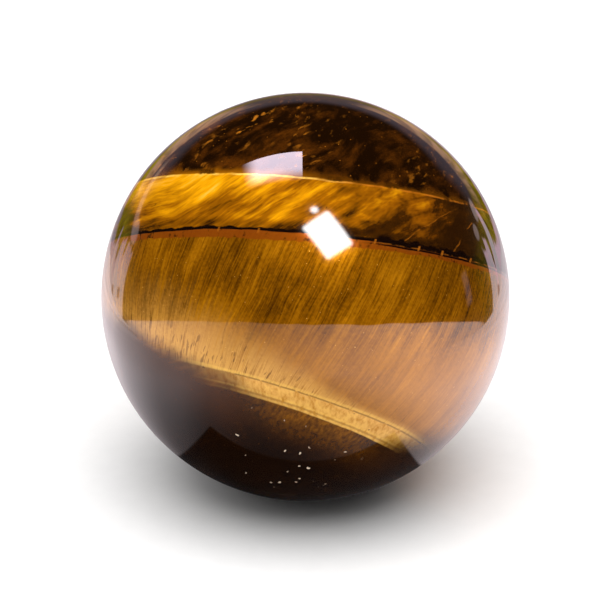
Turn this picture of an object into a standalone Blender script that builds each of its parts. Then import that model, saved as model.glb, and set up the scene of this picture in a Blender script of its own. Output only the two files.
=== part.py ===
"""A polished tiger's eye sphere: one solid ball of stone that stands on a small flat.

Metres, +Z up. The origin is the middle of the flat that the ball rests on, so the
ball's centre is straight above it. Run with: blender --background --python part.py
"""

from math import radians

import bmesh
import bpy

# Driving dimensions
DIAMETER = 0.060  # across the ball
RESTING_FLAT_DIAMETER = 0.006  # the flat ground under it, so that it doesn't roll away

# Facets of the solid. Rows 5 degrees apart put the flat's rim, 5.7 degrees from the
# ball's lowest point, well clear of the row above it.
MERIDIANS = 72
PARALLELS = 36

RADIUS = DIAMETER / 2
# How high the ball's centre stands above its flat
CENTRE_HEIGHT = (RADIUS**2 - (RESTING_FLAT_DIAMETER / 2) ** 2) ** 0.5

# Edges sharper than this are shown sharp: only the flat's rim would be
SHARP_EDGE_ANGLE = radians(30)

# The stone's overall colour in the photograph: a dark golden brown, polished
STONE_COLOUR = (0.23, 0.105, 0.018, 1.0)
POLISH_ROUGHNESS = 0.08
QUARTZ_IOR = 1.54


def clear_scene():
    for obj in list(bpy.data.objects):
        bpy.data.objects.remove(obj)


def stone_material():
    """Polished quartz coloured by iron: glossy, and not a metal."""
    material = bpy.data.materials.new("polished_tigers_eye")
    material.use_nodes = True
    shader = material.node_tree.nodes["Principled BSDF"]
    shader.inputs["Base Color"].default_value = STONE_COLOUR
    shader.inputs["Roughness"].default_value = POLISH_ROUGHNESS
    shader.inputs["Metallic"].default_value = 0.0
    shader.inputs["IOR"].default_value = QUARTZ_IOR
    material.diffuse_color = STONE_COLOUR
    return material


def ball_mesh():
    """A ball about the origin, cut level below, with the cut closed by one flat face."""
    bm = bmesh.new()
    bmesh.ops.create_uvsphere(bm, u_segments=MERIDIANS, v_segments=PARALLELS, radius=RADIUS)
    cut = bmesh.ops.bisect_plane(
        bm,
        geom=bm.verts[:] + bm.edges[:] + bm.faces[:],
        plane_co=(0, 0, -CENTRE_HEIGHT),
        plane_no=(0, 0, -1),
        clear_outer=True,
    )
    rim = [item for item in cut["geom_cut"] if isinstance(item, bmesh.types.BMEdge)]
    bmesh.ops.edgeloop_fill(bm, edges=rim)
    bmesh.ops.recalc_face_normals(bm, faces=bm.faces[:])
    mesh = bpy.data.meshes.new("sphere")
    bm.to_mesh(mesh)
    bm.free()
    mesh.shade_smooth()
    mesh.set_sharp_from_angle(angle=SHARP_EDGE_ANGLE)
    return mesh


def add_sphere(collection):
    """The ball, lifted so that its flat lies on the surface it stands on."""
    sphere = bpy.data.objects.new("sphere", ball_mesh())
    sphere.data.materials.append(stone_material())
    sphere.location = (0, 0, CENTRE_HEIGHT)
    collection.objects.link(sphere)


def main():
    clear_scene()
    collection = bpy.data.collections.new("tigers_eye_sphere")
    bpy.context.scene.collection.children.link(collection)
    add_sphere(collection)


main()
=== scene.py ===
"""The looks of a polished tiger's eye sphere: silky golden bands between layers of dark rock.

Everything is in metres, +Z up, with the origin under the ball. The bands are worked out in
the stone's own space: its origin is the ball's centre and its unit is the ball's radius, with
x to the right, y to the back and z up, leaned back by the angle the photograph looks down at.
"""

from math import acos, cos, pi, radians, sin

import bpy
import numpy as np
from bpy.props import FloatProperty, FloatVectorProperty, IntProperty, PointerProperty
from mathutils import Matrix, Vector


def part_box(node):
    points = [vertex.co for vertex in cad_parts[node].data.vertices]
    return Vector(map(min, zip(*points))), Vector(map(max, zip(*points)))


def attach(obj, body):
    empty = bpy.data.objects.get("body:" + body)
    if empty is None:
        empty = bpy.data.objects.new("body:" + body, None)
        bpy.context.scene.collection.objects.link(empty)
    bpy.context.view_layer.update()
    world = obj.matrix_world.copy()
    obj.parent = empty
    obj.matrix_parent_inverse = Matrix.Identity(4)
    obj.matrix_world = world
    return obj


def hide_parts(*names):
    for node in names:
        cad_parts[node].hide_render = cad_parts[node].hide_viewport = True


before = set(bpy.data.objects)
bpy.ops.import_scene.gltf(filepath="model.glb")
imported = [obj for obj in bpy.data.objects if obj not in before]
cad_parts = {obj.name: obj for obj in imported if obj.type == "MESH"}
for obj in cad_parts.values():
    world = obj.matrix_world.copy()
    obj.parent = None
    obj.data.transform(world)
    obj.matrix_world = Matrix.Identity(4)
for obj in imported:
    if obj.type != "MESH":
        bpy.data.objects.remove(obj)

bl_info = {
    "name": "Tiger's Eye Sphere",
    "version": (1, 0, 0),
    "blender": (4, 5, 0),
    "location": "View3D > Sidebar > Tiger's Eye",
    "description": "A polished ball of banded tiger's eye, with a white card and soft lights to show it",
    "category": "Object",
}

# The ball's sizes, read from the solid that it stands for
LOWEST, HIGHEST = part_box("sphere")
RADIUS = (HIGHEST.x - LOWEST.x) / 2
CENTRE_HEIGHT = HIGHEST.z - RADIUS

# The angle that the photograph looks down at, which the stone's own space is leaned by
LOOK_DOWN = radians(22)

# Band edges in the stone's space: height on the upright axis, slope to the right, slope to the back
GOLD_TOP = (0.470, -0.097, -0.079)
SEAM = (0.164, -0.090, -0.122)
FIBRE_END = (-0.690, -0.319, -0.194)
CRACK_LINE = (-0.681, -0.284, -0.272)
LEFT_ROCK = (-0.599, -0.536, 0.0)
RIGHT_ROCK = (-1.0, 0.334, -0.3)

# Where bright bridges cross the seam, and where dark pits lie along the top of the gold
SEAM_BRIDGES = (-0.39, -0.21, 0.31, 0.51, 0.62, 0.76)
GOLD_TOP_PITS = (-0.45, 0.13, 0.39)
# Where thin cracks leave the seam, and how far each leans to the right as it runs up the gold
SWIRL_CRACKS = ((0.41, 1.2), (0.66, 0.6))

# What the rims mirror, by the turn from the front in radians, below 0 to the left.
# Dark slots in the screens: their turns at the left, and how much further round they lie at the right
SCREEN_SLOTS = (2.2, 2.36, 2.69)
SLOTS_FURTHER_ROUND = 0.165
# Fingers and dips along the screens' tops: turn, half width, and height or depth
SCREEN_FINGERS = (
    (-2.26, 0.022, -0.08),
    (-2.41, 0.035, -0.07),
    (-2.50, 0.030, 0.07),
    (2.23, 0.050, -0.05),
    (2.355, 0.035, -0.11),
    (2.435, 0.050, 0.15),
)
# Pale patches over the screens: turn, height, half width and half height
PALE_PATCHES = ((-2.22, 0.085, 0.090, 0.050), (2.22, 0.080, 0.050, 0.038), (2.40, 0.075, 0.070, 0.038))

# The middle of the cluster of tiny white chips low in the rock
CHIPS_MIDDLE = (-0.07, -0.68, -0.73)

# The softbox and small lamp that the polish mirrors: how far they stand from the ball, how far
# the faint halo beyond them reaches, and the halo's brightness
PANEL_DISTANCE = 0.6
HALO_REACH = 0.05
HALO_RADIANCE = 0.4

# Level sheets: their left, right, front and back sides, in ball radii from the origin
CARD_SIDES = (-20.0, 20.0, -20.0, 20.0)
MIRRORED_FLOOR_SIDES = (-3.9, 3.85, -45.0, 4.6)
OVERHEAD_PANEL_SIDES = (-16.667, -0.6667, -1.667, 10.333)
OVERHEAD_PANEL_HEIGHT = 1.0

# The direction that the upright fibres run in
FIBRE_AXIS = Vector((0.52, 0.2, 1.0)).normalized()


def linear(red, green, blue):
    """A colour given in screen values from 0 to 255, as the linear values that shaders take."""
    shares = (red / 255, green / 255, blue / 255)
    return tuple(c / 12.92 if c <= 0.04045 else ((c + 0.055) / 1.055) ** 2.4 for c in shares)


def stone_colour(name, description, red, green, blue):
    """A colour setting, with its default given in screen values."""
    return FloatVectorProperty(
        name=name,
        description=description,
        subtype="COLOR",
        size=3,
        min=0.0,
        max=1.0,
        default=linear(red, green, blue),
    )


class TigersEyeBall(bpy.types.PropertyGroup):
    """Sizes of the ball."""

    radius: FloatProperty(
        name="Radius",
        description="From the ball's centre to its surface",
        default=RADIUS,
        min=0.005,
        unit="LENGTH",
        subtype="DISTANCE",
    )
    centre_height: FloatProperty(
        name="Centre height",
        description="How high the ball's centre stands above its resting flat",
        default=CENTRE_HEIGHT,
        min=0.004,
        unit="LENGTH",
        subtype="DISTANCE",
    )
    swell: FloatProperty(
        name="Polishing swell",
        description="How far hand polishing leaves the surface in and out of true",
        default=0.00005,
        min=0.0,
        max=0.0002,
        unit="LENGTH",
        subtype="DISTANCE",
    )
    around: IntProperty(
        name="Faces around",
        description="Faces in each row around the ball",
        default=384,
        min=24,
        max=512,
    )
    rows: IntProperty(
        name="Rows",
        description="Rows of faces from the resting flat to the top",
        default=192,
        min=12,
        max=256,
    )


class TigersEyeStone(bpy.types.PropertyGroup):
    """Colours of the stone."""

    rock: stone_colour("Rock", "Dark ironstone above and below the golden bands", 20, 7, 1)
    rock_glow: stone_colour("Rock glow", "Brown that shows through the dark rock", 84, 42, 5)
    fleck: stone_colour("Flecks", "Orange-brown flecks in the rock", 182, 108, 26)
    speck: stone_colour("Specks", "Tiny pale specks in the rock", 235, 215, 190)
    olive: stone_colour("Olive", "Darkest patches of the swirled golden band", 62, 32, 2)
    amber: stone_colour("Amber", "Main colour of the swirled golden band", 150, 88, 4)
    gold: stone_colour("Gold", "Brightest silk of the swirled golden band", 236, 160, 8)
    flare: stone_colour("Flares", "Thin bright lines where bands meet", 255, 205, 92)
    bridge: stone_colour("Bridges", "Orange bridges across the seam", 196, 112, 26)
    crack: stone_colour("Seam", "Black hairline seam under the swirled band", 16, 6, 4)
    brick: stone_colour("Brick", "Brick-brown strip under the seam", 132, 62, 10)
    fibre_dark: stone_colour("Dark fibres", "Dark fibres of the main band", 92, 52, 2)
    fibre: stone_colour("Fibres", "Main colour of the upright fibres", 142, 86, 4)
    fibre_light: stone_colour("Light fibres", "Light fibres of the main band", 188, 122, 14)
    cream: stone_colour("Cream gold", "Pale gold along the lower end of the fibres", 236, 178, 86)


class TigersEyeStudio(bpy.types.PropertyGroup):
    """The card, the lights and the camera."""

    key_radiance: FloatProperty(
        name="Key light",
        description="Brightness of the softbox and small lamp that the polish mirrors, in W/m²/sr",
        default=22.0,
        min=0.0,
    )
    panel_radiance: FloatProperty(
        name="Overhead panel",
        description="Brightness of the panel overhead that the polish mirrors, in W/m²/sr",
        default=12.0,
        min=0.0,
    )
    fill_radiance: FloatProperty(
        name="Overhead fill",
        description="Brightness of the wide soft light overhead, in W/m²/sr",
        default=0.98,
        min=0.0,
    )
    main_radiance: FloatProperty(
        name="Main light",
        description="Brightness of the round soft light high in front, in W/m²/sr",
        default=3.64,
        min=0.0,
    )
    front_radiance: FloatProperty(
        name="Front fill",
        description="Brightness of the low soft light in front, in W/m²/sr",
        default=0.5,
        min=0.0,
    )
    camera_distance: FloatProperty(
        name="Camera distance",
        description="From the ball's centre to the camera",
        default=9.83 * RADIUS,
        min=0.05,
        unit="LENGTH",
        subtype="DISTANCE",
    )
    card: FloatVectorProperty(
        name="Card",
        description="Colour of the card that the ball stands on",
        subtype="COLOR",
        size=3,
        min=0.0,
        max=1.0,
        default=(0.86, 0.85, 0.845),
    )


class Wire:
    """A shader value or vector on its way between nodes.

    Arithmetic on wires adds the nodes that work it out: Math nodes for values, and Vector
    Math nodes for vectors.
    """

    def __init__(self, graph, socket):
        self.graph = graph
        self.socket = socket

    def _sum(self, operation, first, second):
        if self.socket.type == "VALUE":
            return self.graph.node("ShaderNodeMath", {"operation": operation}, {0: first, 1: second})
        return self.graph.node("ShaderNodeVectorMath", {"operation": operation}, {0: first, 1: second})

    def __add__(self, other):
        return self._sum("ADD", self, other)

    def __sub__(self, other):
        return self._sum("SUBTRACT", self, other)

    def __rsub__(self, other):
        return self._sum("SUBTRACT", other, self)

    def __mul__(self, other):
        return self._sum("MULTIPLY", self, other)

    def __truediv__(self, other):
        return self._sum("DIVIDE", self, other)

    def __pow__(self, other):
        return self._sum("POWER", self, other)

    def __abs__(self):
        return self._sum("ABSOLUTE", self, 0.0)


class Graph:
    """The nodes of one material or of the world."""

    def __init__(self, tree):
        self.tree = tree
        tree.nodes.clear()

    def node(self, kind, settings=None, sockets=None, out=0):
        """Adds a node: its settings first, then its sockets' values or links. Returns one output."""
        made = self.tree.nodes.new(kind)
        for key, value in (settings or {}).items():
            if key == "stops":
                self._set_stops(made.color_ramp, value)
            else:
                setattr(made, key, value)
        for key, value in (sockets or {}).items():
            socket = self._socket(made.inputs, key)
            if isinstance(value, Wire):
                self.tree.links.new(value.socket, socket)
            elif socket.type == "RGBA":
                socket.default_value = (*value, 1.0)
            else:
                socket.default_value = value
        if not made.outputs:
            return None
        return Wire(self, self._socket(made.outputs, out))

    @staticmethod
    def _socket(sockets, key):
        """A socket by its place, or by its name among those in use."""
        if isinstance(key, int):
            return sockets[key]
        return next(s for s in sockets if s.enabled and s.name == key)

    @staticmethod
    def _set_stops(ramp, stops):
        while len(ramp.elements) < len(stops):
            ramp.elements.new(1.0)
        for element, (position, colour) in zip(ramp.elements, stops):
            element.position = position
            element.color = (*colour, 1.0)

    def split(self, vector):
        """The three values of a vector."""
        made = self.node("ShaderNodeSeparateXYZ", None, {0: vector})
        return [Wire(self, socket) for socket in made.socket.node.outputs]

    def join(self, x, y, z):
        """A vector from three values."""
        return self.node("ShaderNodeCombineXYZ", None, {0: x, 1: y, 2: z})

    def greater(self, first, second):
        """The greater of two values."""
        return self.node("ShaderNodeMath", {"operation": "MAXIMUM"}, {0: first, 1: second})

    def noise(self, vector, scale, detail=2.0, roughness=0.5, distortion=0.0, out="Fac"):
        """Soft noise, about 0 to 1 with its middle at 0.5."""
        return self.node(
            "ShaderNodeTexNoise",
            {"noise_dimensions": "3D"},
            {
                "Vector": vector,
                "Scale": scale,
                "Detail": detail,
                "Roughness": roughness,
                "Distortion": distortion,
            },
            out,
        )

    def spots(self, vector, scale):
        """Distance from the nearest of a scatter of points, one to each cell of the scale."""
        return self.node(
            "ShaderNodeTexVoronoi",
            {"feature": "F1", "voronoi_dimensions": "3D"},
            {"Vector": vector, "Scale": scale},
            "Distance",
        )

    def rise(self, value, low, high):
        """0 below low, 1 above high and a smooth step between; falls where low is the larger."""
        if low > high:
            return 1.0 - self.rise(value, high, low)
        return self.node(
            "ShaderNodeMapRange",
            {"interpolation_type": "SMOOTHSTEP"},
            {"Value": value, "From Min": low, "From Max": high},
        )

    def mix(self, mask, colour, other):
        """One colour where the mask is 0, and the other where it is 1."""
        settings = {"data_type": "RGBA", "clamp_factor": True}
        return self.node("ShaderNodeMix", settings, {"Factor": mask, "A": colour, "B": other}, "Result")

    def ramp(self, value, *stops):
        """A colour read off stops along a value."""
        stops = [(position, tuple(colour)) for position, colour in stops]
        return self.node("ShaderNodeValToRGB", {"stops": stops}, {"Fac": value}, "Color")


def new_material(name):
    """A material with no nodes yet, and its graph."""
    material = bpy.data.materials.new(name)
    material.use_nodes = True
    return material, Graph(material.node_tree)


def above(x, y, z, edge):
    """How far a point lies above a band's edge, which is a plane in the stone's space."""
    height, right, back = edge
    return z - height - x * right - y * back


class Stone:
    """The places that the stone's pattern is worked out from, made once for all its bands."""

    def __init__(self, graph, ball):
        self.graph = graph
        position = graph.node("ShaderNodeTexCoord", None, None, "Object")
        self.place = graph.node(
            "ShaderNodeMapping",
            {"vector_type": "TEXTURE"},
            {
                "Vector": position,
                "Location": (0.0, 0.0, ball.centre_height),
                "Rotation": (-LOOK_DOWN, 0.0, 0.0),
                "Scale": (ball.radius,) * 3,
            },
        )
        self.x, self.y, self.z = graph.split(self.place)
        self.broad = graph.noise(self.place, 2.3, 2.0, 0.5) - 0.5
        fine = graph.noise(self.place, 9.0, 3.0, 0.55) - 0.5
        waver = self.broad * 0.02 + fine * 0.022
        self.far_left = graph.rise(self.x, -0.30, -0.80)
        dip = self.far_left * 0.010
        self.above_gold = above(self.x, self.y, self.z, GOLD_TOP) + dip + waver * 0.7
        self.above_seam = above(self.x, self.y, self.z, SEAM) + dip + waver * 0.4
        bow = self.x * self.x
        self.above_end = above(self.x, self.y, self.z, FIBRE_END) + bow * 0.034 + waver * 0.25
        self.above_crack = above(self.x, self.y, self.z, CRACK_LINE) - bow * 0.056 + waver * 0.25
        self.above_left_rock = above(self.x, self.y, self.z, LEFT_ROCK) + waver * 2.0
        self.above_right_rock = above(self.x, self.y, self.z, RIGHT_ROCK) + waver

        bend = graph.noise(self.place, 3.0, 2.0, 0.5, 0.0, "Color")
        self.bent = self.place + bend * ((0.03,) * 3)
        axis = tuple(FIBRE_AXIS)
        dot = {0: self.bent, 1: axis}
        along = graph.node("ShaderNodeVectorMath", {"operation": "DOT_PRODUCT"}, dot, "Value")
        self.on_axis = graph.node("ShaderNodeVectorMath", {"operation": "SCALE"}, {0: axis, "Scale": along})

    def along_fibres(self, share, scale, detail, roughness):
        """Noise over a point's turn about the fibre axis, drawn out along it, with its middle at 0."""
        graph = self.graph
        turned = graph.node("ShaderNodeVectorMath", {"operation": "NORMALIZE"}, {0: self.bent - self.on_axis})
        return graph.noise(turned + self.on_axis * ((share,) * 3), scale, detail, roughness) - 0.5

    def specks(self, scale, size, crowding):
        """Small ragged specks, gathered where a broad noise is high."""
        graph = self.graph
        shake = graph.noise(self.place, scale * 2.2, 1.0, 0.5, 0.0, "Color")
        ragged = self.place + shake * ((0.5 / scale,) * 3)
        gathered = graph.rise(graph.noise(self.place, 3.6, 2.0, 0.5), crowding, crowding + 0.1)
        return graph.rise(graph.spots(ragged, scale), size, size * 0.5) * gathered


def rock_colour(stone, look):
    """Near-black ironstone with brown smoke, orange-brown flecks and tiny pale specks.

    The smoke and flecks are noise drawn out along a line that rises to the right.
    """
    graph = stone.graph
    lean = radians(36)
    along = stone.x * cos(lean) + stone.z * sin(lean)
    across = stone.z * cos(lean) - stone.x * sin(lean) + stone.broad * 0.15
    drawn = graph.join(along * 0.45, stone.y * 0.35, across)
    smoke = graph.noise(drawn, 5.2, 5.0, 0.62, 0.3)
    wisps = graph.noise(drawn, 21.0, 4.0, 0.65, 0.2)
    upper = graph.rise(stone.z, -0.2, 0.2)
    right = graph.rise(stone.x, -0.1, 0.6)
    share = upper * (0.90 - right * 0.40) + 0.03
    colour = graph.mix(graph.rise(smoke * 0.5 + wisps * 0.5, 0.45, 0.70) * share, look.rock, look.rock_glow)
    fleck_ground = graph.rise(graph.noise(drawn, 4.0, 2.0, 0.5), 0.44, 0.64)
    flecks = graph.rise(graph.noise(drawn, 40.0, 2.0, 0.5), 0.58, 0.76) * fleck_ground
    colour = graph.mix(flecks * (upper * (0.75 - right * 0.45) + 0.05), colour, look.fleck)
    dust = graph.rise(graph.spots(stone.place, 26.0), 0.10, 0.05)
    dusty = 0.55 - graph.rise(stone.z, 0.5, 0.1) * 0.35
    colour = graph.mix(dust * dusty * graph.rise(stone.z, -0.95, -0.45), colour, look.fleck)
    shake = graph.noise(stone.place, 40.0, 1.0, 0.5, 0.0, "Color")
    shaken = (stone.place + shake * ((0.03,) * 3)) * (1.0, 1.0, 0.55)
    chips = graph.rise(graph.spots(shaken, 20.0), 0.14, 0.09)
    from_chips = graph.node(
        "ShaderNodeVectorMath", {"operation": "DISTANCE"}, {0: stone.place, 1: CHIPS_MIDDLE}, "Value"
    )
    return graph.mix(chips * graph.rise(from_chips, 0.36, 0.24) * 0.8, colour, look.speck)


def swirl_colour(stone, look):
    """Golden silk that sweeps up to the right, bright at the left but darker at the far left rim with painted
    shade, and mottled at the right.

    The silk is noise drawn out along curves whose slope eases off towards both sides: they
    are where z - 0.66 x + 0.3 (x + 0.1) cubed, bent a little, stays the same.
    """
    graph = stone.graph
    x, y, z = stone.x, stone.y, stone.z
    right = graph.rise(x, -0.15, 0.45)
    from_middle = x + 0.1
    bend = graph.noise(stone.place, 2.6, 2.0, 0.45) - 0.5
    across = z - x * 0.66 + from_middle * from_middle * from_middle * 0.3 + bend * 0.12
    sheets = graph.noise(graph.join(x * 0.35, y * 0.3, across), 9.0, 2.0, 0.5) - 0.5
    silk = graph.noise(graph.join(x * 0.12, y * 0.10, across), 34.0, 2.0, 0.55) - 0.5
    hair = graph.noise(graph.join(x * 0.16, y * 0.08, across), 95.0, 2.0, 0.6) - 0.5
    leant = z * 0.9 - x * 0.4
    mottle = graph.noise(graph.join(x * 0.7 + z * 0.3, y * 0.7, leant * 1.5), 11.0, 3.0, 0.6, 0.25) - 0.5
    up_band = stone.above_seam / (stone.above_seam - stone.above_gold)
    drawn = sheets * 0.34 + silk * 0.25 + hair * 0.18
    tone = drawn * (1.1 - right * 0.55) + mottle * (right * 0.45 + 0.12) + 0.545
    tone = tone + graph.rise(up_band, 0.35, 0.85) * 0.08 + graph.rise(x, -0.4, -0.7) * 0.03
    tone = tone - graph.rise(x, -0.30, 0.10) * 0.09 - right * 0.03
    low = graph.rise(up_band, 0.26, 0.10)
    # Painted shade: the tone drops at the far left rim, where light falls off towards the ball's edge
    tone = tone - low * 0.09 - graph.rise(x, 0.50, 0.74) * 0.17 - graph.rise(x, -0.77, -0.84) * 0.14
    colour = graph.ramp(
        tone,
        (0.28, look.crack),
        (0.40, look.olive),
        (0.53, look.amber),
        (0.68, look.gold),
        (0.90, look.flare),
    )
    rust = graph.mix(graph.rise(tone, 0.32, 0.58), look.olive, look.brick)
    colour = graph.mix(graph.rise(x, 0.1, 0.7) * 0.40, colour, rust)
    cracks = 0.0
    for place, lean in SWIRL_CRACKS:
        off_crack = abs(x - place - stone.above_seam * lean - stone.broad * 0.05 - mottle * 0.04)
        cracks = graph.rise(off_crack, 0.005, 0.001) + cracks
    cracks = cracks * graph.rise(up_band, 0.95, 0.7) * graph.rise(mottle, -0.12, 0.06)
    colour = graph.mix(cracks * 0.35, colour, look.bridge)
    slits = graph.rise(abs(silk + 0.07), 0.012, 0.002) * graph.rise(sheets, 0.03, -0.06)
    colour = graph.mix(slits * 0.5 * (1.0 - right), colour, look.olive)
    return graph.mix(stone.specks(19.0, 0.10, 0.55) * 0.8, colour, look.olive)


def fibre_colour(stone, look):
    """Upright fibres that lean to the right, pale and flecked towards their lower left end."""
    graph = stone.graph
    x = stone.x
    hair = stone.along_fibres(0.045, 150.0, 2.0, 0.6)
    strands = stone.along_fibres(0.055, 58.0, 3.0, 0.6)
    locks = stone.along_fibres(0.2, 11.0, 3.0, 0.55)
    cloud = graph.noise(stone.place, 2.6, 3.0, 0.55) - 0.5
    lower = graph.rise(stone.above_seam, -0.32, -0.55)
    speckle = graph.noise(stone.place, 75.0, 1.0, 0.5) - 0.5
    streaks = hair * 0.32 + strands * 0.22 + locks * 0.28 + cloud * 0.36 + speckle * 0.14
    tone = streaks * (1.0 - lower * 0.5) + lower * 0.05 + 0.505
    right_shade = graph.rise(x, 0.35, 0.75) * graph.rise(stone.above_seam, -0.36, -0.06)
    tone = tone - right_shade * graph.rise(locks + cloud, -0.12, 0.10) * 0.12
    colour = graph.ramp(
        tone,
        (0.30, look.olive),
        (0.41, look.fibre_dark),
        (0.52, look.fibre),
        (0.66, look.fibre_light),
    )
    left = graph.rise(x, 0.35, -0.75)
    pale_reach = left * 0.185 + 0.02
    streaky = hair * 1.5 + strands * 1.8 + cloud * 1.2
    pale = graph.rise(stone.above_crack / pale_reach + streaky, 2.0, -0.2)
    bright = graph.rise(tone + strands * 0.3 + hair * 0.3, 0.42, 0.64)
    colour = graph.mix(pale * (bright * 0.75 + left * 0.10 + 0.15), colour, look.cream)
    dashes = stone.along_fibres(0.30, 70.0, 1.0, 0.5) + 0.5
    dark_dashes = graph.rise(dashes - (pale * left * 0.20 + 0.26), 0.02, -0.05)
    colour = graph.mix(dark_dashes * (pale * 0.5 + 0.2), colour, look.fibre_dark)
    return graph.mix(stone.specks(30.0, 0.085, 0.40) * 0.7, colour, look.cream)


def seam_colour(stone, colour, look):
    """Lays the black seam and the brick strip under it over a colour, for where the two bands meet.

    The seam is thin at the left. At the right it is thick, its top scalloped, and a thin bright
    line splits it. Bright bridges cross it at a few places.
    """
    graph = stone.graph
    height = stone.above_seam
    scallops = graph.noise(graph.join(stone.x, stone.y, 0.0), 17.0, 2.0, 0.55)
    right = graph.rise(stone.x, 0.20, 0.42)
    top = (graph.rise(scallops, 0.36, 0.62) * (right * 0.2 + 0.4) + 0.5) * (right * 0.009 + 0.018)
    rough = graph.noise(stone.place, 26.0, 3.0, 0.6)
    strip_foot = (rough - 0.5) * 0.02 - 0.041 + right * 0.006 + stone.far_left * 0.010
    strip = graph.rise(height - strip_foot, -0.003, 0.003) * graph.rise(height, 0.004, 0.0)
    brick = graph.mix(graph.rise(rough, 0.54, 0.70) * 0.8, look.brick, look.crack)
    colour = graph.mix(strip * 0.9, colour, brick)
    seam = graph.rise(height - top, 0.003, -0.003) * graph.rise(height + right * 0.006, -0.004, 0.0)
    lower_seam = graph.rise(abs(height + 0.0125), 0.0055, 0.003) * right
    colour = graph.mix(graph.greater(seam, lower_seam), colour, look.crack)
    splinter = graph.rise(abs(height + 0.0045), 0.0035, 0.001) * right * graph.rise(scallops, 0.42, 0.56)
    colour = graph.mix(splinter * 0.4, colour, look.bridge)
    bridges = 0.0
    for place in SEAM_BRIDGES:
        bridges = graph.rise(abs(stone.x - place - height * 0.3), 0.007, 0.002) + bridges
    crossing = graph.rise(height, 0.012, 0.004) * graph.rise(height, -0.018, -0.010)
    return graph.mix(bridges * crossing * (right * 0.2 + 0.35), colour, look.bridge)


def edge_colour(stone, colour, look):
    """Lays the lower edge of the fibres over their colour.

    From the middle to the right it is a pale bright layer between two edges: a hairline crack
    on top, and a double bright line below. At the left it is brown with the bright lines alone.
    """
    graph = stone.graph
    x = stone.x
    height = stone.above_end
    under_crack = graph.rise(stone.above_crack, 0.004, -0.004)
    left = graph.rise(x, -0.22, -0.38)
    grain = graph.noise(graph.join(x, stone.y, stone.z * 0.35), 46.0, 3.0, 0.6)
    layer = graph.mix(graph.rise(grain, 0.20, 0.62), look.fibre_light, look.cream)
    layer = graph.mix(graph.rise(grain, 0.50, 0.70) * 0.35, layer, look.flare)
    layer = graph.mix(left * 0.65, layer, look.fibre_dark)
    colour = graph.mix(under_crack, colour, layer)
    top_glow = graph.rise(abs(stone.above_crack - 0.007), 0.011, 0.002) * graph.rise(x, -0.66, -0.5)
    colour = graph.mix(top_glow * (left * 0.15 + 0.35), colour, look.flare)
    crack = graph.rise(abs(stone.above_crack), 0.0055, 0.001) * graph.rise(x, -0.42, -0.30)
    colour = graph.mix(crack * graph.rise(grain, 0.3, 0.5) * 0.6, colour, look.fibre_dark)
    lines = graph.rise(abs(height - 0.026), 0.006, 0.002) + graph.rise(abs(height - 0.006), 0.006, 0.002)
    shown = graph.rise(x, -0.62, -0.45) * graph.rise(grain, 0.28, 0.48)
    colour = graph.mix(lines * shown * (left * 0.15 + 0.32), colour, look.flare)
    between_lines = graph.rise(abs(height - 0.016), 0.006, 0.002) * shown
    colour = graph.mix(between_lines * 0.35, colour, look.fibre_dark)
    chips = stone.specks(15.0, 0.10, 0.42) * under_crack
    return graph.mix(chips * 0.8, colour, look.olive)


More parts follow.
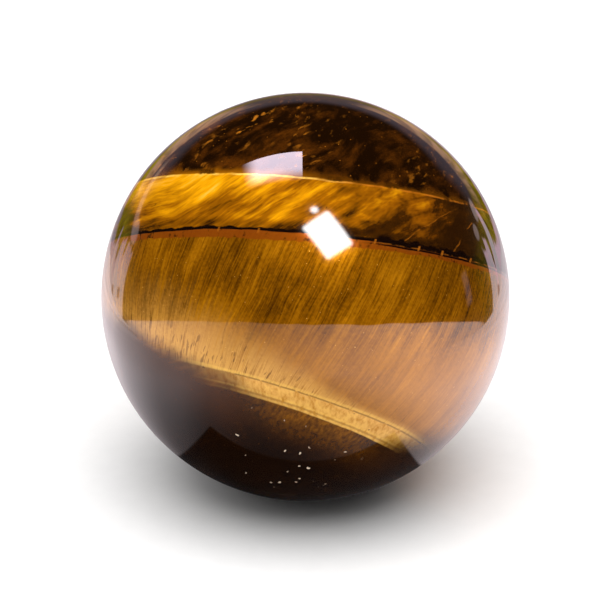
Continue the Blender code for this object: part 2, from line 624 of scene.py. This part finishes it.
def stone_material(ball, look):
    """The whole stone: each band's colour where the band is, under one clear polish."""
    material, graph = new_material("tigers_eye_stone")
    stone = Stone(graph, ball)
    x, y, z = stone.x, stone.y, stone.z

    edge = 0.004
    under_gold_top = graph.rise(stone.above_gold, edge, -edge)
    under_seam = graph.rise(stone.above_seam, edge, -edge)
    over_end = graph.rise(stone.above_end, -edge, edge)
    over_left_rock = graph.rise(stone.above_left_rock, -0.07, 0.09)
    over_right_rock = graph.rise(stone.above_right_rock, -0.055, 0.05)
    over_rock = over_end * over_left_rock * over_right_rock
    in_fibres = under_seam * over_rock
    in_swirl = under_gold_top * (1.0 - under_seam)

    # Rock, with an amber glow in flames above the gold and a browner glow under the fibres
    rock = rock_colour(stone, look)
    flames = graph.noise(graph.join(x, y, z * 0.4), 9.0, 3.0, 0.6)
    left = graph.rise(x, 0.15, -0.15) * graph.rise(x, -0.70, -0.55)
    flame_height = graph.rise(flames, 0.38, 0.72) * 0.09 + left * 0.02 + 0.012
    glow = graph.rise(stone.above_gold / flame_height, 1.0, 0.0)
    amber_share = graph.rise(stone.above_gold, 0.045, 0.0) * (left * 0.5 + 0.35)
    glow_tone = graph.mix(amber_share, look.rock_glow, look.amber)
    rock = graph.mix(glow * (left * 0.35 + 0.5) * (1.0 - under_gold_top), rock, glow_tone)
    streaks = graph.noise(graph.join(x - z * 0.5, y, z * 0.5), 52.0, 3.0, 0.6)
    low_glow = graph.rise(stone.above_end, -0.25, 0.0) * graph.rise(x, -0.6, -0.05) * under_seam
    low_glow = low_glow * (1.0 - graph.rise(x, 0.15, 0.45) * 0.6)
    low_glow = low_glow * low_glow * (graph.rise(streaks, 0.15, 0.80) * 0.7 + 0.3)
    rock = graph.mix(low_glow * 0.95, rock, graph.mix(low_glow, look.rock_glow, look.fibre))
    left_glow = graph.rise(stone.above_left_rock, -0.30, 0.02) * under_seam * graph.rise(x, -0.2, -0.4)
    rock = graph.mix(left_glow * 0.5, rock, look.rock_glow)

    swirl = swirl_colour(stone, look)
    gold_line = graph.rise(abs(stone.above_gold + 0.004), 0.008, 0.002) * graph.rise(flames, 0.34, 0.60)
    swirl = graph.mix(gold_line * 0.7, swirl, graph.mix(graph.rise(x, -0.1, 0.3), look.flare, look.bridge))
    colour = graph.mix(under_gold_top, rock, swirl)
    pits = 0.0
    for place in GOLD_TOP_PITS:
        length = graph.rise(abs(x - place), 0.045, 0.025)
        pits = length * graph.rise(abs(stone.above_gold - 0.008), 0.016, 0.008) + pits
    colour = graph.mix(pits * graph.rise(streaks, 0.36, 0.48) * 0.9, colour, look.olive)

    fibres = edge_colour(stone, fibre_colour(stone, look), look)
    colour = graph.mix(in_fibres, colour, fibres)
    under_fibres = under_seam * (1.0 - over_rock)
    colour = graph.mix(under_fibres, colour, rock)
    colour = seam_colour(stone, colour, look)

    silk = in_fibres * 0.28 + in_swirl * 0.12
    grain = stone.along_fibres(0.06, 110.0, 1.0, 0.5)
    relief = graph.node("ShaderNodeBump", None, {"Strength": 0.2, "Distance": 0.0001, "Height": grain})
    surface = graph.node(
        "ShaderNodeBsdfPrincipled",
        None,
        {
            "Base Color": colour,
            "Metallic": silk,
            "Roughness": 0.22,
            "IOR": 1.54,
            "Specular IOR Level": 0.0,
            "Normal": relief,
            "Coat Weight": 1.0,
            "Coat Roughness": 0.022,
            "Coat IOR": 1.6,
        },
    )
    graph.node("ShaderNodeOutputMaterial", None, {"Surface": surface})
    return material


def swell_of(directions, height):
    """How far the surface lies in from the true ball, for unit directions in rows.

    It is the sum of a few sine waves that cross the ball at random slants, scaled to run
    from 0 to twice the height.
    """
    count = 9
    rng = np.random.default_rng(7)
    waves = rng.normal(size=(count, 3))
    waves *= (rng.uniform(5.0, 11.0, count) / np.linalg.norm(waves, axis=1))[:, None]
    phases = rng.uniform(0.0, 2 * pi, count)
    total = np.sin(directions @ waves.T + phases).sum(axis=1) / count
    return height * (1.0 + total)


def ball_mesh(ball):
    """The ball as rows of points from the flat's rim to the top.

    A point's row gives its angle down from the top and its column its turn about the upright
    axis: x = r sin(down) cos(turn), y = r sin(down) sin(turn), z = centre + r cos(down). The
    swell takes a little off r, and fades out towards the flat. One point closes the top and
    one the flat.
    """
    rim_angle = acos(-ball.centre_height / ball.radius)
    down = np.linspace(rim_angle, 0.0, ball.rows + 1)[:-1, None]
    turn = np.linspace(0.0, 2 * pi, ball.around, endpoint=False)[None, :]
    directions = np.stack(
        [np.sin(down) * np.cos(turn), np.sin(down) * np.sin(turn), np.cos(down) + 0.0 * turn], axis=-1
    ).reshape(-1, 3)
    directions = np.vstack([directions, [[0.0, 0.0, 1.0]]])
    fade_angle = 0.25
    from_rim = rim_angle - np.arccos(np.clip(directions[:, 2], -1, 1))
    share = np.clip(from_rim / fade_angle, 0.0, 1.0)
    fade = share * share * (3 - 2 * share)
    reach = ball.radius - swell_of(directions, ball.swell) * fade
    points = directions * reach[:, None] + [0.0, 0.0, ball.centre_height]
    points = np.vstack([points, [[0.0, 0.0, 0.0]]])
    points[: ball.around, 2] = 0.0

    column = np.arange(ball.around)
    beside = (column + 1) % ball.around
    row = np.arange(ball.rows - 1)[:, None] * ball.around
    next_row = row + ball.around
    quads = np.stack([row + column, row + beside, next_row + beside, next_row + column], axis=-1)
    last_row = (ball.rows - 1) * ball.around
    top, flat_middle = len(points) - 2, len(points) - 1
    top_fan = np.stack([last_row + column, last_row + beside, np.full(ball.around, top)], axis=-1)
    flat_fan = np.stack([beside, column, np.full(ball.around, flat_middle)], axis=-1)
    faces = quads.reshape(-1, 4).tolist() + top_fan.tolist() + flat_fan.tolist()

    mesh = bpy.data.meshes.new("tigers_eye_ball")
    mesh.from_pydata(points.tolist(), [], faces)
    mesh.shade_smooth()
    facet_angle = radians(3)
    mesh.set_sharp_from_angle(angle=facet_angle)
    return mesh


def link(obj):
    """Puts an object in the scene, and hands it back."""
    bpy.context.scene.collection.objects.link(obj)
    return obj


class TIGERS_EYE_OT_ball(bpy.types.Operator):
    """Make the polished ball of banded stone"""

    bl_idname = "tigers_eye.ball"
    bl_label = "Polished ball"

    def execute(self, context):
        ball = context.scene.tigers_eye_ball
        piece = link(bpy.data.objects.new("polished_ball", ball_mesh(ball)))
        piece.data.materials.append(stone_material(ball, context.scene.tigers_eye_stone))
        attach(piece, "root")
        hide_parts("sphere")
        return {"FINISHED"}


def direction(azimuth, elevation):
    """A unit vector: azimuth 0 is towards the photograph's viewer, and 90 degrees to the right."""
    level = cos(elevation)
    return Vector((sin(azimuth) * level, -cos(azimuth) * level, sin(elevation)))


def add_lamp(name, place, width, height, radiance, shape):
    """A flat lamp of even brightness that faces the ball, and that the polish doesn't mirror.

    Its watts are pi * area * radiance.
    """
    lamp = bpy.data.lights.new(name, "AREA")
    lamp.shape = shape
    lamp.size = width
    lamp.size_y = height
    area = width * height * (pi / 4 if shape == "DISK" else 1.0)
    lamp.energy = pi * area * radiance
    obj = link(bpy.data.objects.new(name, lamp))
    centre = Vector((0.0, 0.0, CENTRE_HEIGHT))
    facing = (centre - place).to_track_quat("-Z", "Y").to_matrix().to_4x4()
    obj.matrix_world = Matrix.Translation(place) @ facing
    obj.visible_camera = False
    obj.visible_glossy = False


def card_material(studio):
    """Matt white card, with a faint mottle."""
    material, graph = new_material("white_card")
    position = graph.node("ShaderNodeTexCoord", None, None, "Object")
    mottle = graph.rise(graph.noise(position, 220.0, 3.0, 0.6), 0.3, 0.7)
    paler = tuple(min(1.0, c * 1.02) for c in studio.card)
    colour = graph.mix(mottle, tuple(studio.card), paler)
    surface = graph.node("ShaderNodeBsdfDiffuse", None, {"Color": colour})
    graph.node("ShaderNodeOutputMaterial", None, {"Surface": surface})
    return material


def add_sheet(name, sides, height, material):
    """A level rectangle, with its sides given in ball radii from the origin."""
    left, right, front, back = (side * RADIUS for side in sides)
    corners = [(left, front, height), (right, front, height), (right, back, height), (left, back, height)]
    mesh = bpy.data.meshes.new(name)
    mesh.from_pydata(corners, [], [(0, 1, 2, 3)])
    sheet = link(bpy.data.objects.new(name, mesh))
    sheet.data.materials.append(material)
    return sheet


def bearing_of(graph, x, y):
    """The turn from the front in radians, below 0 to the left and above 0 to the right."""
    return graph.node("ShaderNodeMath", {"operation": "ARCTAN2"}, {0: x, 1: y * -1.0})


def studio_tones(graph, bearing):
    """Brightness of what lies low around the ball: dim in front and to the left, pale at the sides."""
    stops = (
        (-180, 0.45),
        (-150, 0.80),
        (-130, 1.40),
        (-118, 1.70),
        (-105, 1.60),
        (-90, 1.40),
        (-75, 1.05),
        (-60, 0.95),
        (-45, 0.58),
        (-30, 0.52),
        (-12, 0.74),
        (9, 1.05),
        (30, 1.48),
        (50, 1.90),
        (65, 2.10),
        (90, 1.95),
        (115, 1.50),
        (130, 1.30),
        (150, 0.80),
        (180, 0.45),
    )
    tint = (1.08, 0.96, 1.0)
    tones = [(turn / 360 + 0.5, [tone / 3 * c for c in tint]) for turn, tone in stops]
    return graph.ramp(bearing * (0.5 / pi) + 0.5, *tones) * ((3.0,) * 3)


def screen_glow(graph, turn):
    """Brightness of the white screens beside and behind the ball, by the turn from the front."""
    return 1.35 - graph.rise(turn, 2.2, 2.85) * 0.85


def mirrored_floor_material():
    """A painted reflection of the floor that only the polish sees: white far off, with painted shade dimming
    towards a painted dark square under the ball.
    """
    material, graph = new_material("mirrored_floor")
    position = graph.node("ShaderNodeTexCoord", None, None, "Object") * ((1.0 / RADIUS,) * 3)
    x, y, _ = graph.split(position)
    reach = (x * x + y * y) ** 0.5
    tones = studio_tones(graph, bearing_of(graph, x, y))
    right_of_shade = x + 0.1
    out_of_shade = (right_of_shade * right_of_shade + y * y * 0.22) ** 0.5
    # Painted shade that dims the floor's reflection near the ball
    shade = graph.rise(out_of_shade, 0.4, 2.05)
    ripple = graph.noise(graph.join(reach, x * 0.12, y * 0.12), 5.0, 2.0, 0.5)
    streaks = (ripple - 0.5) * graph.rise(reach, 2.6, 3.6) * 0.8 + 1.0
    # A painted dark square under the ball: the darkest painted shade in the floor's reflection
    outside = graph.greater(abs(x + 0.05) + y * 0.22 - 0.68, y * -1.0 - 0.97)
    off_painted_dark_square = graph.rise(outside, -0.01, 0.02)
    strength = (shade * streaks + 0.05) * off_painted_dark_square + 0.02
    glow = tones * graph.join(strength, strength, strength)
    surface = graph.node("ShaderNodeEmission", None, {"Color": glow, "Strength": 1.0})
    graph.node("ShaderNodeOutputMaterial", None, {"Surface": surface})
    return material


def panel_material(radiance):
    """The overhead panel's even lavender glow, which dies away towards its front and left edges."""
    material, graph = new_material("panel_glow")
    x, y, _ = graph.split(graph.node("ShaderNodeTexCoord", None, None, "Object"))
    glow = graph.rise(y, -0.05, 0.11) * graph.rise(x, -0.50, -0.34) * radiance
    lavender = graph.join(glow, glow * 0.84, glow)
    surface = graph.node("ShaderNodeEmission", None, {"Color": lavender, "Strength": 1.0})
    graph.node("ShaderNodeOutputMaterial", None, {"Surface": surface})
    return material


def add_soft_panel(name, azimuth, elevation, roll, width, height, corner, radiance):
    """A glowing panel that faces the ball, with rounded soft edges and a faint halo beyond them.

    The angles are in degrees, and place it as seen from the ball's centre.
    """
    centre = Vector((0.0, 0.0, CENTRE_HEIGHT))
    place = centre + direction(radians(azimuth), radians(elevation)) * PANEL_DISTANCE
    facing = (centre - place).to_track_quat("-Z", "Y").to_matrix() @ Matrix.Rotation(radians(roll), 3, "Z")
    half_width, half_height = width / 2 + HALO_REACH, height / 2 + HALO_REACH
    signs = ((-1, -1), (1, -1), (1, 1), (-1, 1))
    corners = [place + facing @ Vector((u * half_width, v * half_height, 0.0)) for u, v in signs]
    mesh = bpy.data.meshes.new(name)
    mesh.from_pydata(corners, [], [(0, 1, 2, 3)])
    panel = link(bpy.data.objects.new(name, mesh))
    material, graph = new_material(name + "_glow")
    position = graph.node("ShaderNodeTexCoord", None, None, "Object")
    turned = {"Vector": position, "Location": tuple(place), "Rotation": tuple(facing.to_euler())}
    u, v, _ = graph.split(graph.node("ShaderNodeMapping", {"vector_type": "TEXTURE"}, turned))
    past_u = graph.greater(abs(u) - (width / 2 - corner), 0.0)
    past_v = graph.greater(abs(v) - (height / 2 - corner), 0.0)
    outside = (past_u * past_u + past_v * past_v) ** 0.5 - corner
    halo = graph.rise(outside, HALO_REACH, 0.0) * HALO_RADIANCE
    glow = graph.rise(outside, 0.020, -0.014) * radiance + halo
    white = graph.join(glow, glow, glow)
    light = graph.node("ShaderNodeEmission", None, {"Color": white, "Strength": 1.0})
    clear = graph.node("ShaderNodeBsdfTransparent")
    surface = graph.node("ShaderNodeAddShader", None, {0: light, 1: clear})
    graph.node("ShaderNodeOutputMaterial", None, {"Surface": surface})
    panel.data.materials.append(material)
    only_mirrored(panel)


def only_mirrored(obj):
    """Leaves a thing to be seen in the polish alone."""
    obj.visible_camera = False
    obj.visible_diffuse = False
    obj.visible_shadow = False
    obj.visible_transmission = False
    obj.visible_volume_scatter = False


def bump_at(graph, value, place, half_width):
    """1 where a value is at a place, falling smoothly to 0 a half width to each side of it."""
    return graph.rise(abs(value - place), half_width, half_width * 0.35)


def make_world():
    """White behind everything, and for the polish a dim room with pale screens low around it."""
    world = bpy.data.worlds.new("studio")
    bpy.context.scene.world = world
    world.use_nodes = True
    graph = Graph(world.node_tree)
    x, y, z = graph.split(graph.node("ShaderNodeTexCoord", None, None, "Generated"))
    bearing = bearing_of(graph, x, y)
    turn = abs(bearing)
    right = graph.rise(x, -0.05, 0.05)

    # The dim room: olive low down, tan further round, blue-grey above and dark overhead
    room = graph.ramp(
        z * 0.5 + 0.5,
        (0.42, (0.44, 0.33, 0.01)),
        (0.47, (0.60, 0.46, 0.02)),
        (0.51, (0.42, 0.32, 0.02)),
        (0.54, (0.10, 0.07, 0.03)),
        (0.60, (0.03, 0.015, 0.008)),
        (0.78, (0.02, 0.008, 0.003)),
    )
    streaks = graph.rise(graph.noise(graph.join(turn + z, z * 0.3, right), 17.0, 2.0), 0.42, 0.60)
    room = graph.mix(streaks * graph.rise(z, 0.10, 0.0) * 0.8, room, (0.20, 0.16, 0.01))
    grey = graph.rise(turn, 2.34, 2.55) * graph.rise(z, 0.02, 0.10) * graph.rise(z, 0.38, 0.24)
    room = graph.mix(grey, room, (0.19, 0.155, 0.19))
    wander = graph.noise(graph.join(turn, z * 0.4, right), 9.0, 2.0) - 0.5
    tan_top = graph.rise(turn, 2.50, 2.90) * 0.15 + wander * 0.10 + 0.05
    tan = graph.rise(z - tan_top, 0.016, -0.016) * graph.rise(z + wander * 0.2, -0.09, 0.0)
    tan = tan * graph.rise(turn, 2.50, 2.66) * graph.rise(turn, 3.04, 2.92)
    room = graph.mix(tan * (0.95 - streaks * 0.50), room, (1.10, 0.64, 0.40))
    straight_behind = graph.rise(turn, 2.95, 3.05) * graph.rise(z, 0.34, 0.12)
    room = graph.mix(straight_behind * 0.7, room, (0.20, 0.14, 0.12))
    room = graph.mix(graph.rise(y, 0.2, 0.7), (0.010, 0.005, 0.002), room)
    strip = bump_at(graph, bearing, 1.77, 0.06) * graph.rise(abs(z + 0.02), 0.12, 0.08)
    room = graph.mix(strip * 0.8, room, (0.62, 0.45, 0.50))
    band = bump_at(graph, z - (turn - 2.28) * 0.22, 0.078, 0.050) * graph.rise(turn, 2.22, 2.32)
    band = band * graph.rise(turn, 2.68, 2.56) * (1.0 - right)
    room = graph.mix(band * 0.9, room, (0.85, 0.66, 0.56))
    for place, height, half_width, half_height in PALE_PATCHES:
        across = (bearing - place) / half_width
        up = (z - height) / half_height
        patch = graph.rise(across * across + up * up, 1.3, 0.5)
        room = graph.mix(patch * 0.9, room, (1.10, 0.86, 0.82))

    # The screens, with fingers along their tops and a row of dark slots
    jags = (graph.noise(graph.join(turn, right * 3.0, 0.0), 34.0, 1.0) - 0.5) * 0.10
    screen_top = 0.03 - graph.rise(turn, 2.18, 2.62) * 0.21 + graph.rise(turn, 2.75, 2.95) * 0.08 + jags
    for place, half_width, height in SCREEN_FINGERS:
        screen_top = screen_top + bump_at(graph, bearing, place, half_width) * height
    under_top = z - screen_top
    screens = graph.rise(under_top, 0.010, -0.010) * graph.rise(turn - right * 0.105, 2.08, 2.10)
    slots = 0.0
    for place in SCREEN_SLOTS:
        slots = graph.rise(abs(turn - right * SLOTS_FURTHER_ROUND - place), 0.034, 0.020) + slots
    off_row = abs(z + 0.21 + (turn - 2.2) * 0.27)
    near_top = graph.rise(under_top, -0.16, 0.0)
    pale = screen_glow(graph, turn) * (1.0 - slots * graph.rise(off_row, 0.030, 0.018) * 0.7)
    pale = pale * (1.0 - near_top * (1.0 - right) * 0.28 + right * (near_top * 0.20 + 0.08))
    pink = right * near_top * 0.18 + 1.07
    room = graph.mix(screens, room, graph.join(pale * pink, pale * (0.97 - near_top * 0.12), pale))

    # In front, the pale floor runs up to a level and slightly uneven horizon
    uneven = (graph.noise(graph.join(x, y * 0.3, 0.0), 2.4, 1.0) - 0.5) * 0.07
    over_horizon = z + y * 0.2965 + x * 0.0104 + 0.168 + uneven
    low_in_front = graph.rise(over_horizon, 0.006, -0.006) * graph.rise(y, 0.5, 0.3)
    mirrored = graph.mix(low_in_front, room, studio_tones(graph, bearing))
    camera_ray = graph.node("ShaderNodeLightPath", None, None, "Is Camera Ray")
    seen = graph.mix(camera_ray, mirrored, (1.0, 1.0, 1.0))
    background = graph.node("ShaderNodeBackground", None, {"Color": seen, "Strength": 1.0})
    graph.node("ShaderNodeOutputWorld", None, {"Surface": background})
    world.cycles_visibility.diffuse = False


def add_camera(studio):
    """A long lens at the photograph's height, aimed so that the ball lands where it does there."""
    centre = Vector((0.0, 0.0, CENTRE_HEIGHT))
    away = direction(0.0, LOOK_DOWN)
    right = Vector((1.0, 0.0, 0.0))
    up = away.cross(right)
    to_left, below = 0.026 * RADIUS, 0.015 * RADIUS
    aim = centre - right * to_left - up * below
    data = bpy.data.cameras.new("camera")
    data.lens = 120.0
    data.sensor_width = 36.0
    data.clip_start = 0.01
    data.clip_end = 100.0
    camera = link(bpy.data.objects.new("camera", data))
    camera.matrix_world = Matrix.Translation(aim + away * studio.camera_distance) @ (
        (-away).to_track_quat("-Z", "Y").to_matrix().to_4x4()
    )
    bpy.context.scene.camera = camera


class TIGERS_EYE_OT_stage(bpy.types.Operator):
    """Make the white card, the lights and the camera"""

    bl_idname = "tigers_eye.stage"
    bl_label = "Card, lights and camera"

    def execute(self, context):
        studio = context.scene.tigers_eye_studio
        context.scene.view_settings.view_transform = "Standard"
        centre = Vector((0.0, 0.0, CENTRE_HEIGHT))
        card = add_sheet("white_card", CARD_SIDES, 0.0, card_material(studio))
        card.visible_glossy = False
        just_over_card = 0.00005
        floor = mirrored_floor_material()
        only_mirrored(add_sheet("mirrored_floor", MIRRORED_FLOOR_SIDES, just_over_card, floor))
        panel = panel_material(studio.panel_radiance)
        only_mirrored(add_sheet("overhead_panel", OVERHEAD_PANEL_SIDES, OVERHEAD_PANEL_HEIGHT, panel))
        add_soft_panel(
            "key_softbox",
            azimuth=19.4,
            elevation=53.9,
            roll=23,
            width=0.166,
            height=0.219,
            corner=0.012,
            radiance=studio.key_radiance,
        )
        add_soft_panel(
            "small_lamp",
            azimuth=11.8,
            elevation=68.6,
            roll=0,
            width=0.026,
            height=0.026,
            corner=0.013,
            radiance=studio.key_radiance,
        )
        above_ball = Vector((-0.09, 0.0, 0.8))
        fill_width = 2.77
        add_lamp("overhead_fill", above_ball, fill_width, fill_width, studio.fill_radiance, "DISK")
        high_in_front = centre + direction(0.0, radians(70)) * 0.9
        main_width = 1.04
        add_lamp("main_light", high_in_front, main_width, main_width, studio.main_radiance, "DISK")
        low_in_front = direction(0.0, radians(12))
        add_lamp("front_fill", low_in_front, 1.6, 0.5, studio.front_radiance, "RECTANGLE")
        make_world()
        add_camera(studio)
        return {"FINISHED"}


class VIEW3D_PT_tigers_eye(bpy.types.Panel):
    """The sidebar's list of what the add-on makes"""

    bl_label = "Tiger's Eye Sphere"
    bl_space_type = "VIEW_3D"
    bl_region_type = "UI"
    bl_category = "Tiger's Eye"

    def draw(self, context):
        scene = context.scene
        steps = (
            (scene.tigers_eye_ball, None),
            (scene.tigers_eye_stone, TIGERS_EYE_OT_ball),
            (scene.tigers_eye_studio, TIGERS_EYE_OT_stage),
        )
        for settings, operator in steps:
            box = self.layout.box()
            for name in type(settings).__annotations__:
                box.prop(settings, name)
            if operator:
                box.operator(operator.bl_idname)


SETTINGS = {
    "tigers_eye_ball": TigersEyeBall,
    "tigers_eye_stone": TigersEyeStone,
    "tigers_eye_studio": TigersEyeStudio,
}
CLASSES = (*SETTINGS.values(), TIGERS_EYE_OT_ball, TIGERS_EYE_OT_stage, VIEW3D_PT_tigers_eye)


def register():
    for made in CLASSES:
        bpy.utils.register_class(made)
    for name, group in SETTINGS.items():
        setattr(bpy.types.Scene, name, PointerProperty(type=group))


def unregister():
    for name in SETTINGS:
        delattr(bpy.types.Scene, name)
    for made in reversed(CLASSES):
        bpy.utils.unregister_class(made)


def main():
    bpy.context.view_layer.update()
    register()
    bpy.ops.tigers_eye.ball()
    bpy.ops.tigers_eye.stage()
    bpy.context.view_layer.update()


if __name__ == "__main__":
    main()
